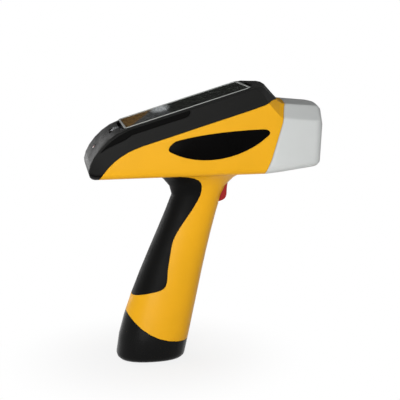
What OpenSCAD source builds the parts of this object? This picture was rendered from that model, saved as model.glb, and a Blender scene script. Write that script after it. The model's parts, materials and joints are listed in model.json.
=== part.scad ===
// Handheld X-ray fluorescence analyser with a pistol grip.
// Frame: origin at the centre of the hand grip, +X towards the measuring nose,
// +Y to the instrument's left, +Z up. Lengths in millimetres, angles in degrees.

/* [Head] */
// Height of the head's underside above the grip centre
head_floor = 63; // [58:1:70]
// Distance from the grip centre back to the rear of the head
head_back = 97.5; // [92:0.5:106]
// Width over the head
head_w = 89; // [87:1:100]
// Wall of the head mouldings
wall = 2.5; // [2:0.1:3]
// Rounding along the lower edges of the head
floor_r = 8; // [5:0.5:10]
// Chamfer along the upper edges of the cover
cover_edge = 1.6; // [1:0.1:2]
// Depth of the black cover below its own top edge
cover_h = 21.3; // [20:0.1:24]
// Length of the cover's brow ahead of the terminal
brow_len = 17.5; // [15:0.5:20]
// Rise of the cover's brow above the deck at the terminal's front
brow_rise = 3.2; // [2.5:0.1:4]
// How far the brow's corners fall back behind its middle
brow_bow = 7; // [4:0.5:8]
// Length of the swoop from the brow down to the nose
swoop_len = 16; // [14:0.5:18]
// Gap between neighbouring mouldings
seam = 0.3; // [0.2:0.05:0.4]

/* [Nose] */
// Distance from the grip centre forward to the front of the nose
nose_reach = 140.5; // [134:0.5:150]
// Height of the nose's upper edge above the head's underside, at its root
nose_top = 72.5; // [70:0.5:75]
// Width over the front of the nose
nose_w = 82; // [76:1:86]
// Drop of the nose's upper edge from its root to its front
nose_droop = 3.5; // [2:0.5:6]
// Rise of the nose's lower edge from its root to its front
nose_lift = 5; // [3:0.5:7]
// Set-back of the nose's lower lip behind its upper lip
nose_lean = 4; // [2:0.5:6]
// Rounding round the front of the nose
nose_r = 8; // [6:0.5:10]
// Width of the bevel along the nose's upper edges
bevel_w = 12.5; // [10:0.5:14]
// Height of the bevel along the nose's upper edges
bevel_h = 14; // [12:0.5:17]
// Crown across the top of the nose
nose_crown = 2.5; // [1:0.5:3.5]

/* [Terminal] */
// Length of the terminal
term_len = 131; // [126:0.2:136]
// Width of the terminal
term_w = 78.4; // [74:0.2:79]
// Thickness of the terminal
term_h = 16; // [14:0.5:17]
// Tilt of the terminal, nose end up
term_tilt = 16.4; // [14:0.2:18]
// Distance from the grip centre back to the terminal's rear end
term_back = 61; // [58:0.5:64]
// Height of the terminal's rear upper edge above the grip centre
term_rise = 113.8; // [112:0.2:116]
// How far the terminal's bezel stands proud of the cover
bezel_proud = 1.6; // [1:0.1:2.5]
// Width of the terminal's bright rim
bezel_rim = 1.8; // [1.4:0.1:3]
// Corner rounding of the terminal
term_r = 4; // [2:0.5:6]
// Clearance round the terminal in its cradle
term_gap = 0.3; // [0.2:0.05:0.5]
// Depth of the thumb trough ahead of the terminal
trough_d = 6; // [4:0.5:8]
// Depth of the trough behind the terminal, in front of the latch
latch_gap = 3.5; // [3:0.5:5]

/* [Handle] */
// Depth of the handle's foot, front to back
foot_d = 72; // [68:1:78]
// Half width of the handle's foot
foot_hw = 27.5; // [26:0.5:31]
// Half width of the handle's waist
waist_hw = 20.5; // [19.5:0.5:23]
// Height of the grip centre above the foot
grip_h = 133; // [125:1:140]
// Distance from the grip centre back to the middle of the foot
foot_back = 36; // [33:0.5:39]
// Rounding under the foot
foot_r = 6.5; // [4:0.5:8]
// Thickness of the rubber grip
rubber_t = 2.2; // [1.6:0.1:2.6]

/* [Battery] */
// Rake of the battery from the vertical
rake = 17; // [16:0.5:17.5]
// Depth of the battery pack, front to back
pack_d = 38; // [35:0.5:39]
// Width of the battery pack
pack_w = 26; // [22:0.5:28]
// Length of the battery pack
pack_len = 142; // [130:1:146]
// Clearance round the battery pack in its well
pack_gap = 0.5; // [0.3:0.1:0.8]

/* [Trigger] */
// Width of the trigger
trig_w = 17; // [14:0.5:20]
// How far the trigger's blade reaches below its pin
trig_drop = 29.5; // [28:0.5:31]
// Radius of the trigger's pin
trig_pin_r = 1.5; // [1.2:0.1:2]
// Running clearance of pins in their bores
run_gap = 0.05; // [0.02:0.01:0.09]

/* [Measuring head] */
// Radius of the measuring window
window_r = 6; // [4:0.5:8]
// Width of the window plate
plate_w = 48; // [46:1:52]
// Height of the window plate
plate_h = 34; // [32:1:36]
// Radius of the X-ray tube
tube_r = 8; // [7:0.25:8]
// Length of the X-ray tube
tube_len = 38; // [30:1:40]
// Radius of the detector can
detector_r = 7; // [6:0.25:7]
// Radius of the filter wheel
wheel_r = 17; // [16.5:0.25:17.5]
// Radius of the proximity plunger
plunger_r = 2; // [1.5:0.1:2.2]
// How far the proximity plunger stands out of the nose
plunger_out = 2.5; // [1.5:0.1:3]

/* [Fasteners] */
// Radius of the housing screws' shank
screw_r = 1.5; // [1.2:0.05:1.7]
// Radius of the housing screws' head
screw_head_r = 2.8; // [2.4:0.1:3]
// Height of the screw heads
screw_head_h = 2.4; // [1.6:0.1:3]

/* [Hidden] */
$fn = 48;
big = 400;
yellow = [0.96, 0.70, 0.12];
cover_black = [0.13, 0.13, 0.12];
boot_grey = [0.80, 0.81, 0.81];

half_w = head_w / 2;
deck_slope = tan(term_tilt);
term_front = -term_back + term_len * cos(term_tilt);
function deck_z(x) = term_rise - bezel_proud + (x + term_back) * deck_slope;
function lerp(a, b, t) = a + (b - a) * min(1, max(0, t));
function ease(t) = let (u = min(1, max(0, t))) u * u * (3 - 2 * u);
function bez(p, t) = pow(1 - t, 3) * p[0] + 3 * pow(1 - t, 2) * t * p[1]
                   + 3 * (1 - t) * t * t * p[2] + t * t * t * p[3];
function curve(p, n) = [for (i = [0:n]) bez(p, i / n)];

// ---- Lofts ------------------------------------------------------------------------------

// Closed skin through rings of equal point count; the first and last ring are flat and convex
module skin(rings) {
    n = len(rings[0]);
    m = len(rings);
    sides = [for (k = [0:m - 2]) for (i = [0:n - 1])
        let (a = k * n + i, b = k * n + (i + 1) % n)
        each [[a, a + n, b], [b, a + n, b + n]]];
    polyhedron(
        points = [for (r = rings) each r],
        faces = concat(sides, [[for (i = [0:n - 1]) i]], [[for (i = [n - 1:-1:0]) (m - 1) * n + i]])
    );
}

// Ring of the head between a lower point lo and an upper point up, both (x, z).
// Round lower corners, flat sides, bevelled upper corners and a slightly crowned top.
function head_ring(up, lo, hw, bw, bh, r, crown, inset) =
    let (
        h0 = norm(up - lo),
        v = (up - lo) / h0,
        h = h0 - 2 * inset,
        base = lo + v * inset,
        w = hw - inset,
        rr = max(0.4, min(r - inset, 0.42 * h)),
        bb = min(bh, 0.42 * h),
        half = concat(
            [for (i = [0:4]) let (a = -90 + 22.5 * i) [w - rr + rr * cos(a), rr + rr * sin(a)]],
            [[w, h - bb - crown], [w - bw, h - crown], [(w - bw) / 2, h - crown / 4]]
        ),
        n = len(half),
        ring = concat([[0, 0]], half, [[0, h]], [for (i = [n - 1:-1:0]) [-half[i][0], half[i][1]]])
    )
    [for (p = ring) [base[0] + v[0] * p[1], p[0], base[1] + v[1] * p[1]]];

rear_r = 6;
roll_foot = head_floor + 11;
roll_end = -term_back + 1;
brow = [term_front + brow_len, deck_z(term_front) + brow_rise];
nose_root = brow[0] + swoop_len;
nose_end_x = nose_reach - nose_r;
rear_roll = [
    [-head_back, roll_foot],
    [-head_back + 1.5, roll_foot + 12],
    [roll_end - 20, deck_z(roll_end - 20)],
    [roll_end, deck_z(roll_end)]
];
brow_roll = [
    [term_front - 1, deck_z(term_front - 1)],
    [term_front + 5, deck_z(term_front + 5)],
    brow + [-5.5, 0.4],
    brow
];
nose_top_z = head_floor + nose_top;
swoop = [brow, brow + [3.8, -4.1], [nose_root - 5.2, nose_top_z + 4], [nose_root, nose_top_z]];

function rear_lower(t) = t < 0.5
    ? [-head_back + rear_r + 0.5, head_floor + rear_r] + rear_r * [cos(180 + 180 * t), sin(180 + 180 * t)]
    : [lerp(-head_back + rear_r + 0.5, roll_end, (t - 0.5) * 2), head_floor];
function nose_share(x) = (x - nose_root) / (nose_end_x - nose_root);
function floor_z(x) = head_floor + nose_lift * max(0, x - nose_root + 14) / (nose_end_x - nose_root + 14);
function bevel_share(x) = (x - brow[0] + 8) / (swoop_len + 10);
function side_bevel_w(x) = lerp(cover_edge, bevel_w, bevel_share(x));
function side_bevel_h(x) = lerp(cover_edge, bevel_h, bevel_share(x));
function top_crown(x) = nose_crown * ease((x - term_front) / 20);
function bow(x) = brow_bow * ease((x - term_front + 1) / brow_len)
                * (1 - ease((x - brow[0]) / (swoop_len + 14)));
function head_hw(x) = lerp(half_w, nose_w / 2, nose_share(x));

function upright_ring(up, inset) =
    let (x = up[0], lean = lerp(0, nose_lean, nose_share(x)))
    [for (q = head_ring(up, [x - lean, floor_z(x)], head_hw(x), side_bevel_w(x), side_bevel_h(x),
                        floor_r, top_crown(x), inset))
        q - [bow(x) * pow(abs(q[1]) / half_w, 3.5), 0, 0]];

// The whole head, from the rear roll to the rounded front of the nose
module head_loft(inset = 0) {
    nose_end = [nose_end_x, nose_top_z - nose_droop];
    rear = [for (i = [0:6]) let (t = i / 6)
        head_ring(bez(rear_roll, t), rear_lower(t), half_w, cover_edge, cover_edge,
                  floor_r, 0, inset)];
    front = [for (p = concat(curve(brow_roll, 4), [for (i = [1:6]) bez(swoop, i / 6)], [nose_end]))
        upright_ring(p, inset)];
    tip = [for (a = [30, 60, 90]) let (s = (nose_r - inset) * sin(a), c = (nose_r - inset) * (1 - cos(a)))
        [for (q = upright_ring(nose_end, inset + c)) q + [s, 0, 0]]];
    shift = inset == 0 ? 0 : inset;
    skin(concat([[for (q = rear[0]) q + [shift, 0, 0]]], [for (i = [1:6]) rear[i]], front, tip));
}

// ---- Handle -----------------------------------------------------------------------------

foot_z = -grip_h + foot_r;
handle_rear = [
    [-foot_back - foot_d / 2, foot_z],
    [-foot_back - foot_d / 2 + 3.5, foot_z + 46.5],
    [-26.5, -2],
    [-11, head_floor - 24]
];
handle_front = [
    [-foot_back + foot_d / 2, foot_z],
    [-foot_back + foot_d / 2 + 12, foot_z + 51.5],
    [24.6, -8],
    [40.5, head_floor - 24]
];
flare_h = 27;

function oval(rear, front, hw, inset) =
    let (mid = (rear + front) / 2, v = (front - rear) / 2, a = norm(v) - inset, u = v / norm(v), b = hw - inset)
    [for (i = [0:27])
        let (w = i * 360 / 28, c = cos(w), s = sin(w),
             k = 1 / pow(pow(abs(c), 2.3) + pow(abs(s), 2.3), 1 / 2.3))
        [mid[0] + u[0] * a * k * c, b * k * s, mid[1] + u[1] * a * k * c]];

function handle_hw(t) = lerp(foot_hw, waist_hw, ease(t / 0.85));

module handle_loft(inset = 0) {
    foot = [for (a = [90, 60, 30])
        let (c = foot_r * (1 - cos(a)), dz = -foot_r * sin(a) + (a == 90 ? inset : 0))
        [for (q = oval(handle_rear[0], handle_front[0], foot_hw, inset + c)) q + [0, 0, dz]]];
    body = [for (i = [0:8]) let (t = i / 8)
        oval(bez(handle_rear, t), bez(handle_front, t), handle_hw(t), inset)];
    flare = [for (a = [20, 40, 58, 75])
        let (out = 1 - cos(a), up = flare_h * sin(a))
        oval(handle_rear[3] + [-38 * out, up], handle_front[3] + [0.3 * up + 34 * out, up],
             waist_hw + 28 * out, inset)];
    skin(concat(foot, body, flare));
}

// ---- Regions in side view -----------------------------------------------------------------

// Sweep a side-view outline (x, z) across a width
module across(w) {
    rotate([90, 0, 0]) linear_extrude(height = w, center = true) children();
}

parting_end = -36;
parting_rear = [
    [-89, head_floor - 2],
    [-75, head_floor + 21],
    [parting_end - 22, deck_z(parting_end - 22) - cover_h + 0.6],
    [parting_end, deck_z(parting_end) - cover_h]
];
cover_line = concat(curve(parting_rear, 8), [
    [term_front, deck_z(term_front) - cover_h + 0.4],
    [brow[0] - 4.2, deck_z(term_front) - cover_h + 4.7],
    [brow[0] - 0.3, deck_z(term_front) - cover_h + 6.6],
    [brow[0] + 3, nose_top_z + 1.1],
    [brow[0] + 6.8, nose_top_z + 1.9],
    [nose_root - 1.2, nose_top_z + 1.9]
]);
module cover_region() {
    polygon(concat(cover_line, [[nose_root - 1.2, big], [-big, big], [-big, head_floor - 2]]));
}

nose_line = [
    [nose_root - 27, head_floor - 15],
    [nose_root - 19.5, head_floor + 1.5],
    [nose_root - 13.3, head_floor + 15.8],
    [nose_root - 6.5, head_floor + 37.8],
    [nose_root - 2.5, head_floor + 51],
    [nose_root - 1.3, head_floor + 57.7],
    [nose_root - 0.2, head_floor + 62.8],
    [nose_root + 0.8, nose_top_z - 6],
    [nose_root + 2, nose_top_z - 3],
    [nose_root + 4, nose_top_z - 0.4],
    [nose_root + 4.2, big]
];
module nose_region() {
    polygon(concat(nose_line, [[big, big], [big, head_floor - 15]]));
}

cap_line = curve([
    [-foot_back - 40, foot_z + 67.5],
    [-foot_back - 15, foot_z + 25.3],
    [-foot_back + 4, foot_z + 13.3],
    [-foot_back + foot_d / 2 + 14, foot_z + 13]
], 10);
module cap_region() {
    polygon(concat(cap_line, [[big, -big], [-big, -big], [-big, foot_z + 67.5]]));
}

grip_outline = concat(
    [[-90, head_floor - 3]],
    [[-30, head_floor - 3]],
    curve([[-6, head_floor - 1], [12, head_floor - 1], [19, head_floor - 8], [17, head_floor - 17]], 6),
    curve([[16, head_floor - 22], [9, 24], [-12, 4], [-14.5, -12]], 7),
    [[-19, -36]],
    curve([[-19.6, -44], [-20.4, -53], [-23, -56], [-31, -57.8]], 5),
    [[-90, -72.7]]
);
module grip_region() {
    polygon(grip_outline);
}

// ---- Raked frame of the battery -----------------------------------------------------------

module on_rake() {
    translate([-foot_back, 0, -grip_h]) rotate([0, rake, 0]) children();
}
module pack_prism(gap, from, to) {
    r = 5;
    on_rake() translate([0, 0, from]) linear_extrude(height = to - from)
        union() {
            square([pack_d + 2 * gap, pack_w + 2 * gap - 2 * r], center = true);
            square([pack_d + 2 * gap - 2 * r, pack_w + 2 * gap], center = true);
            for (sx = [-1, 1]) for (sy = [-1, 1])
                translate([sx * (pack_d / 2 + gap - r), sy * (pack_w / 2 + gap - r)]) circle(r);
        }
}
pack_foot = 10;
foot_screw_x = [-12, 12];
foot_seat = 4.4;

// ---- Shared frames and shapes ----------------------------------------------------------------

// Frame on the terminal's upper face: x along it towards the nose, z out of it
module on_deck() {
    translate([-term_back, 0, term_rise]) rotate([0, -term_tilt, 0]) children();
}

nose_end_z = nose_top_z - nose_droop;
nose_sill_z = head_floor + nose_lift;
nose_tilt = atan2(nose_lean, nose_end_z - nose_sill_z);
nose_mid_z = (nose_end_z + nose_sill_z) / 2;

// Frame on the middle of the nose's front face: x out of it, z up it
module on_nose() {
    translate([nose_reach - nose_lean / 2, 0, nose_mid_z]) rotate([0, nose_tilt, 0]) children();
}

// Frame on the cover's rear roll, t of the way up it: z out of the surface
module on_roll(t) {
    p = bez(rear_roll, t);
    d = bez(rear_roll, t + 0.01) - bez(rear_roll, t - 0.01);
    translate([p[0], 0, p[1]]) rotate([0, -atan2(d[1], d[0]), 0]) children();
}

module rounded_slab(x0, x1, w, r, z0, z1) {
    translate([0, 0, z0]) linear_extrude(height = z1 - z0)
        union() {
            translate([x0, -w / 2 + r]) square([x1 - x0, w - 2 * r]);
            translate([x0 + r, -w / 2]) square([x1 - x0 - 2 * r, w]);
            for (x = [x0 + r, x1 - r]) for (s = [-1, 1]) translate([x, s * (w / 2 - r)]) circle(r);
        }
}

// Round bar along y, between y0 and y1, at (x, z)
module bar_y(x, z, r, y0, y1) {
    translate([x, y0, z]) rotate([-90, 0, 0]) cylinder(r = r, h = y1 - y0);
}
// Round bar along x, between x0 and x1, at (y, z)
module bar_x(y, z, r, x0, x1) {
    translate([x0, y, z]) rotate([0, 90, 0]) cylinder(r = r, h = x1 - x0);
}
module block(x, y, z) {
    translate([x[0], y[0], z[0]]) cube([x[1] - x[0], y[1] - y[0], z[1] - z[0]]);
}

// Hexagon socket of the housing and foot screws
module hex_socket() {
    cylinder(r = 1.4, h = 1.6, $fn = 6);
}

// Coil spring along z from 0 to len
module coil(r, wire, turns, len) {
    steps = 10 * turns;
    skin([for (i = [0:steps])
        let (a = 36 * i, z = wire + (len - 2 * wire) * i / steps)
        [for (k = [0:5]) let (b = -60 * k, q = r - wire + wire * cos(b))
            [q * cos(a), q * sin(a), z + wire * sin(b)]]]);
}

// Triangulated mouldings are put together as one closed mesh before true bores are cut in them
module moulding() {
    resize([0, 0, 0]) union() {
        children();
    }
}

// ---- Places that several sub-parts share -----------------------------------------------------

pin_at = [35.5, head_floor - 2.5];
slot_w = trig_w + 1;
slot_back = pin_at[0] - 14.5;
slot_sill = pin_at[1] - trig_drop - 2;
trig_back = pin_at[0] - 4.5;
screw_seat = 12;
screw_tip = 10;
screw_at = [
    [-head_back + 25.5, head_floor + 7.5],
    [nose_root - 11, head_floor + 62],
    [pin_at[0] - 19, slot_sill + 3],
    [-foot_back + foot_d / 2 - 0.8, foot_z + 28.5]
];
// Play of screws in their clearance holes, in the bosses they bite into, and round their heads
screw_play = 0.15;
bore_play = 0.05;
head_play = 0.2;
wall_in = half_w - wall;
pack_top = pack_foot + pack_len;
well_top = pack_top + 2;
contact_h = 6;
chassis_z = head_floor + wall + 3;
chassis_t = 2;
post_at = [[-58, 24], [62, 24]];
plunger_drop = plate_h / 2 + 3.5;
lens_at = 0.4;
cover_screw_at = [0.14, 0.65];
lens_r = 2.2;
lens_ring_r = 3.6;
latch_travel = 2;
latch_x = [-latch_gap - 6, -latch_gap - 0.3];
latch_hw = 7;
latch_top = -bezel_proud - 0.9;
latch_z = [latch_top - 4.2, latch_top];

// Outline of the side plates in side view, from the nose's root and the head's underside
leaf_tip = [[-115.5, 26.2], [-118.5, 28.5], [-116.5, 33], [-109.3, 36.9]];
leaf_upper = [[-109.3, 36.9], [-94, 41], [-62, 45.6], [-22.3, 46.1]];
leaf_front = [[-22.3, 46.1], [-14.5, 46.1], [-13.5, 41.8], [-16.7, 39.3]];
leaf_lower = [[-16.7, 39.3], [-43, 16], [-86, 9.5], [-115.5, 26.2]];
module leaf() {
    translate([nose_root, head_floor]) polygon(concat(
        curve(leaf_tip, 5), curve(leaf_upper, 8), curve(leaf_front, 5), curve(leaf_lower, 12)));
}
plate_t = 0.75;

// ---- Housing -----------------------------------------------------------------------------------

module body_skin() {
    difference() {
        head_loft();
        head_loft(wall);
    }
}

// Handle with the seat of the rubber grip sunk into it, open at the top into the head
module handle_core() {
    difference() {
        union() {
            difference() {
                handle_loft();
                across(big) grip_region();
            }
            handle_loft(rubber_t);
        }
        head_loft(wall / 2);
    }
}

module yellow_body() {
    difference() {
        union() {
            body_skin();
            handle_core();
        }
        across(big) cover_region();
        across(big) nose_region();
        across(big) cap_region();
    }
}

// Everything cut out of the handle: battery well, contact seat, cable way, trigger slot, switch seat
module handle_hollows() {
    pack_prism(pack_gap, -20, well_top);
    on_rake() block([-17, 1], [-9.2, 9.2], [well_top - 1, well_top + contact_h + 0.2]);
    block([-5, 8], [-8, 8], [18, head_floor + wall + 2]);
    across(slot_w) polygon([
        [slot_back, slot_sill + 2],
        [slot_back + 6, slot_sill],
        [slot_back + 60, slot_sill],
        [slot_back + 60, pin_at[1] - 1],
        [pin_at[0] + 6, pin_at[1] + 5.5],
        [slot_back, pin_at[1] + 5.5]
    ]);
    block([slot_back - 10.2, slot_back + 1], [-3.4, 3.4], [pin_at[1] - 10.7, pin_at[1] - 4.3]);
}

module screw_boss(side) {
    for (p = [screw_at[0], screw_at[1]])
        if (side > 0) bar_y(p[0], p[1], 5, seam / 4, wall_in + 1);
        else bar_y(p[0], p[1], 4, -wall_in - 1, -seam / 4);
}
module chassis_posts() {
    for (p = post_at) for (s = [-1, 1])
        translate([p[0], s * p[1], head_floor + wall - 1]) cylinder(r = 4, h = 4 - 0.05);
}

module shell_half(side) {
    difference() {
        moulding() {
            intersection() {
                difference() {
                    union() {
                        yellow_body();
                        chassis_posts();
                    }
                    handle_hollows();
                }
                translate([-big / 2, side > 0 ? seam / 4 : -big - seam / 4, -big / 2]) cube(big);
            }
            screw_boss(side);
        }
        translate([0, side * half_w, 0]) across(2 * plate_t + 0.1) leaf();
        bar_y(pin_at[0], pin_at[1], trig_pin_r + run_gap, -slot_w / 2 - 5.1, slot_w / 2 + 5.1);
        for (p = screw_at) {
            if (side > 0) {
                bar_y(p[0], p[1], screw_r + screw_play, -1, screw_seat + 1);
                bar_y(p[0], p[1], screw_head_r + head_play, screw_seat, half_w + 1);
            }
            else bar_y(p[0], p[1], screw_r + bore_play, -screw_tip - 1, screw_seat + 1);
        }
    }
}

module right_shell() {
    color(yellow) shell_half(-1);
}
module left_shell() {
    color(yellow) shell_half(1);
}

module side_plate(side) {
    color([0.03, 0.03, 0.03]) translate([0, side * (half_w - plate_t / 2), 0])
        across(plate_t) offset(delta = -0.1) leaf();
}
module right_side_plate() {
    side_plate(-1);
}
module left_side_plate() {
    side_plate(1);
}

// ---- Cover ---------------------------------------------------------------------------------------

scoop_d = 1.4;
scoop_line = concat(
    curve([[-86, 90], [-76, 98], [-62, 100], [-54, deck_z(-54) - 7]], 5),
    [[-2, deck_z(-2) - 7]],
    curve([[1, deck_z(-2) - 6], [4, deck_z(-2) - 4], [4, deck_z(-2) - 1], [3, deck_z(3) - 1.2]], 3),
    [[-54, deck_z(-54) - 1.2]],
    curve([[-60, deck_z(-60) - 2], [-72, deck_z(-72) - 3.5], [-82, 96], [-86, 90]], 5)
);

module tray() {
    on_deck() {
        rounded_slab(-wall - term_gap, term_len + wall + term_gap, term_w + 2 * (term_gap + wall) + 1,
                     term_r + wall, -term_h - wall, -bezel_proud - 1);
        block([latch_x[0] - latch_travel - 3.4, -1], [-latch_hw - 2.6, latch_hw + 2.6],
              [latch_z[0] - 2.2, latch_top - 0.5]);
    }
}

module top_cover() {
    color(cover_black) difference() {
        moulding() {
            difference() {
                union() {
                    intersection() {
                        body_skin();
                        across(big) offset(delta = -seam) cover_region();
                    }
                    tray();
                }
                for (s = [-1, 1]) translate([0, s * half_w, 0]) across(2 * scoop_d) polygon(scoop_line);
                on_deck() {
                    rounded_slab(-term_gap, term_len + term_gap, term_w + 2 * term_gap,
                                 term_r + term_gap, -term_h - 0.05, 30);
                    rounded_slab(-latch_gap, 20, term_w - 16, 3, -6, 30);
                    rounded_slab(term_len - 20, term_len + trough_d, term_w - 40, 5, -5, 30);
                    block([latch_x[0] - latch_travel - 1.5, 1], [-latch_hw - 0.2, latch_hw + 0.2],
                          [latch_z[0] - 0.1, 30]);
                    block([3, 9.2], [-12.2, 12.2], [-term_h - wall - 5, -term_h + 1]);
                }
            }
        }
        on_roll(lens_at) translate([0, 0, -6]) cylinder(r = lens_ring_r + 0.05, h = 12);
        for (t = cover_screw_at) on_roll(t) translate([0, 0, -6]) cylinder(r = screw_r + 0.05, h = 12);
        for (t = cover_screw_at) on_roll(t) translate([0, 0, -1.3]) cylinder(r = 2.2, h = 6);
    }
}

module status_lens() {
    color([0.45, 0.30, 0.28]) on_roll(lens_at) {
        translate([0, 0, -2.6]) cylinder(r = lens_r, h = 2.4);
        intersection() {
            translate([0, 0, -2.6]) sphere(r = 3.2);
            translate([0, 0, -1]) cylinder(r = lens_r, h = 4);
        }
    }
}
module lens_ring() {
    color([0.05, 0.05, 0.05]) on_roll(lens_at) translate([0, 0, -3]) difference() {
        cylinder(r = lens_ring_r, h = 3.1);
        translate([0, 0, 0.4]) cylinder(r = lens_r + 0.05, h = 4);
        translate([0, 0, -1]) cylinder(r = 1, h = 3);
    }
}
module cover_screws() {
    color([0.12, 0.12, 0.12]) for (t = cover_screw_at) on_roll(t) difference() {
        union() {
            translate([0, 0, -1.2]) cylinder(r = 2.1, h = 1.1);
            translate([0, 0, -5.5]) cylinder(r = screw_r, h = 4.8);
        }
        translate([-0.3, -3, -0.6]) cube([0.6, 6, 2]);
    }
}

module housing_screws() {
    color([0.25, 0.25, 0.26]) for (p = screw_at) difference() {
        union() {
            bar_y(p[0], p[1], screw_r, -screw_tip, screw_seat + 1);
            bar_y(p[0], p[1], screw_head_r, screw_seat + 0.05, screw_seat + screw_head_h);
        }
        translate([p[0], screw_seat + screw_head_h + 0.1, p[1]]) rotate([90, 0, 0]) hex_socket();
    }
}

module terminal_latch() {
    color([0.36, 0.38, 0.38]) on_deck() {
        block(latch_x, [-latch_hw, latch_hw], latch_z);
        for (x = [latch_x[0] + 0.6, latch_x[0] + 2.6])
            block([x, x + 0.8], [-latch_hw + 1, latch_hw - 1], [latch_top - 0.2, latch_top + 0.5]);
        block([latch_x[1] - 1, -term_gap - 0.3], [-4, 4], [latch_z[0] + 0.2, latch_z[0] + 1.4]);
    }
}
module latch_spring() {
    color([0.7, 0.7, 0.72]) on_deck()
        translate([latch_x[0] - latch_travel - 1.45, 0, (latch_z[0] + latch_z[1]) / 2])
        rotate([0, 90, 0]) coil(1.6, 0.25, 3, latch_travel + 1.4);
}

module rubber_grip() {
    color([0.10, 0.10, 0.10]) moulding() difference() {
        intersection() {
            handle_loft();
            across(big) offset(delta = -0.1) grip_region();
        }
        handle_loft(rubber_t);
        head_loft();
    }
}

module nose_boot() {
    color(boot_grey) difference() {
        moulding() difference() {
            intersection() {
                body_skin();
                across(big) offset(delta = -seam) nose_region();
            }
            on_nose() rotate([0, 90, 0])
                rounded_slab(-plate_h / 2 - 0.2, plate_h / 2 + 0.2, plate_w + 0.4, 4.2, -10, 5);
        }
        on_nose() bar_x(0, -plunger_drop, plunger_r + 0.1, -10, 5);
    }
}

// ---- Terminal --------------------------------------------------------------------------------------

bezel_h = 3;
glass_t = 1;
glass_sink = 0.4;
display_t = 0.7;
module terminal_case() {
    color([0.12, 0.12, 0.12]) on_deck() {
        rounded_slab(0.5, term_len - 0.5, term_w - 1, term_r, -term_h + 2, -bezel_h - 0.05);
        rounded_slab(2, term_len - 2, term_w - 4, term_r, -term_h, -term_h + 3);
        rounded_slab(bezel_rim + 0.1, term_len - bezel_rim - 0.1, term_w - 2 * bezel_rim - 0.2, 2,
                     -bezel_h - 1, -glass_sink - glass_t - display_t - 0.1);
    }
}
module terminal_bezel() {
    color([0.63, 0.65, 0.64]) on_deck() difference() {
        rounded_slab(0, term_len, term_w, term_r, -bezel_h, 0);
        rounded_slab(bezel_rim, term_len - bezel_rim, term_w - 2 * bezel_rim, 2.1, -bezel_h - 1, 1);
    }
}
module terminal_glass() {
    color([0.08, 0.08, 0.08]) on_deck()
        rounded_slab(bezel_rim + 0.05, term_len - bezel_rim - 0.05, term_w - 2 * bezel_rim - 0.1, 2,
                     -glass_sink - glass_t, -glass_sink);
}
module terminal_display() {
    color([0.2, 0.17, 0.12]) on_deck()
        rounded_slab(bezel_rim + 0.2, term_len - bezel_rim - 0.2, term_w - 2 * bezel_rim - 0.4, 2,
                     -glass_sink - glass_t - display_t - 0.05, -glass_sink - glass_t - 0.05);
}
module dock_connector() {
    color([0.1, 0.1, 0.1]) on_deck() {
        block([3.2, 9], [-12, 12], [-term_h - wall - 2, -term_h - 0.1]);
        block([1.5, 11], [-14, 14], [-term_h - wall - 3.5, -term_h - wall - 0.1]);
    }
}

// ---- Trigger -----------------------------------------------------------------------------------------

module trigger() {
    color([0.70, 0.16, 0.16]) difference() {
        union() {
            bar_y(pin_at[0], pin_at[1], 4.5, -trig_w / 2, trig_w / 2);
            across(trig_w) polygon(concat(
                [[trig_back, pin_at[1]], [trig_back, pin_at[1] - trig_drop + 3]],
                [[pin_at[0] + 0.5, pin_at[1] - trig_drop]],
                curve([[pin_at[0] + 5.5, pin_at[1] - trig_drop + 1.6],
                       [pin_at[0] + 8.5, pin_at[1] - trig_drop + 3],
                       [pin_at[0] + 9.5, pin_at[1] - trig_drop + 6], [pin_at[0] + 9.6, pin_at[1] - 21]], 4),
                curve([[pin_at[0] + 9.8, pin_at[1] - 17], [pin_at[0] + 10, pin_at[1] - 12],
                       [pin_at[0] + 11.4, pin_at[1] - 8], [pin_at[0] + 12, pin_at[1] - 4]], 4),
                [[pin_at[0] + 4, pin_at[1] + 1]]));
        }
        bar_y(pin_at[0], pin_at[1], trig_pin_r + run_gap, -trig_w, trig_w);
    }
}
module trigger_pin() {
    color([0.7, 0.7, 0.72]) bar_y(pin_at[0], pin_at[1], trig_pin_r, -slot_w / 2 - 5, slot_w / 2 + 5);
}
module trigger_spring() {
    color([0.7, 0.7, 0.72]) translate([slot_back + 0.1, 0, pin_at[1] - 17]) rotate([0, 90, 0])
        coil(3, 0.4, 4, trig_back - slot_back - 0.2);
}
module trigger_switch() {
    color([0.08, 0.08, 0.1]) {
        block([slot_back - 10, slot_back + 0.6], [-3.2, 3.2], [pin_at[1] - 10.5, pin_at[1] - 4.5]);
        bar_x(0, pin_at[1] - 8, 1, slot_back + 0.5, trig_back - 1.3);
    }
}

// ---- Battery -------------------------------------------------------------------------------------------

module battery_pack() {
    color([0.2, 0.2, 0.22]) difference() {
        pack_prism(0, pack_foot, pack_top);
        for (x = [-12, -8, -4]) on_rake() block([x - 1, x + 1], [-6, 6], [pack_top - 0.6, pack_top + 1]);
        foot_bores(screw_r + 0.05);
    }
}
module foot_bores(r) {
    on_rake() for (x = foot_screw_x) translate([x, 0, -6]) cylinder(r = r, h = pack_foot + 16);
}
module base_cap() {
    color([0.17, 0.17, 0.17]) difference() {
        moulding() difference() {
            intersection() {
                handle_loft();
                across(big) offset(delta = -seam) cap_region();
            }
            pack_prism(0.05, pack_foot - 0.05, 200);
        }
        foot_bores(screw_r + 0.05);
        on_rake() for (x = foot_screw_x) translate([x, 0, -12])
            cylinder(r = screw_head_r + head_play, h = 12 + foot_seat + screw_head_h);
    }
}
module foot_screws() {
    color([0.25, 0.25, 0.26]) on_rake() for (x = foot_screw_x) translate([x, 0, foot_seat]) difference() {
        union() {
            cylinder(r = screw_head_r, h = screw_head_h - 0.05);
            cylinder(r = screw_r, h = pack_foot + 4);
        }
        translate([0, 0, -0.1]) hex_socket();
    }
}
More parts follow.
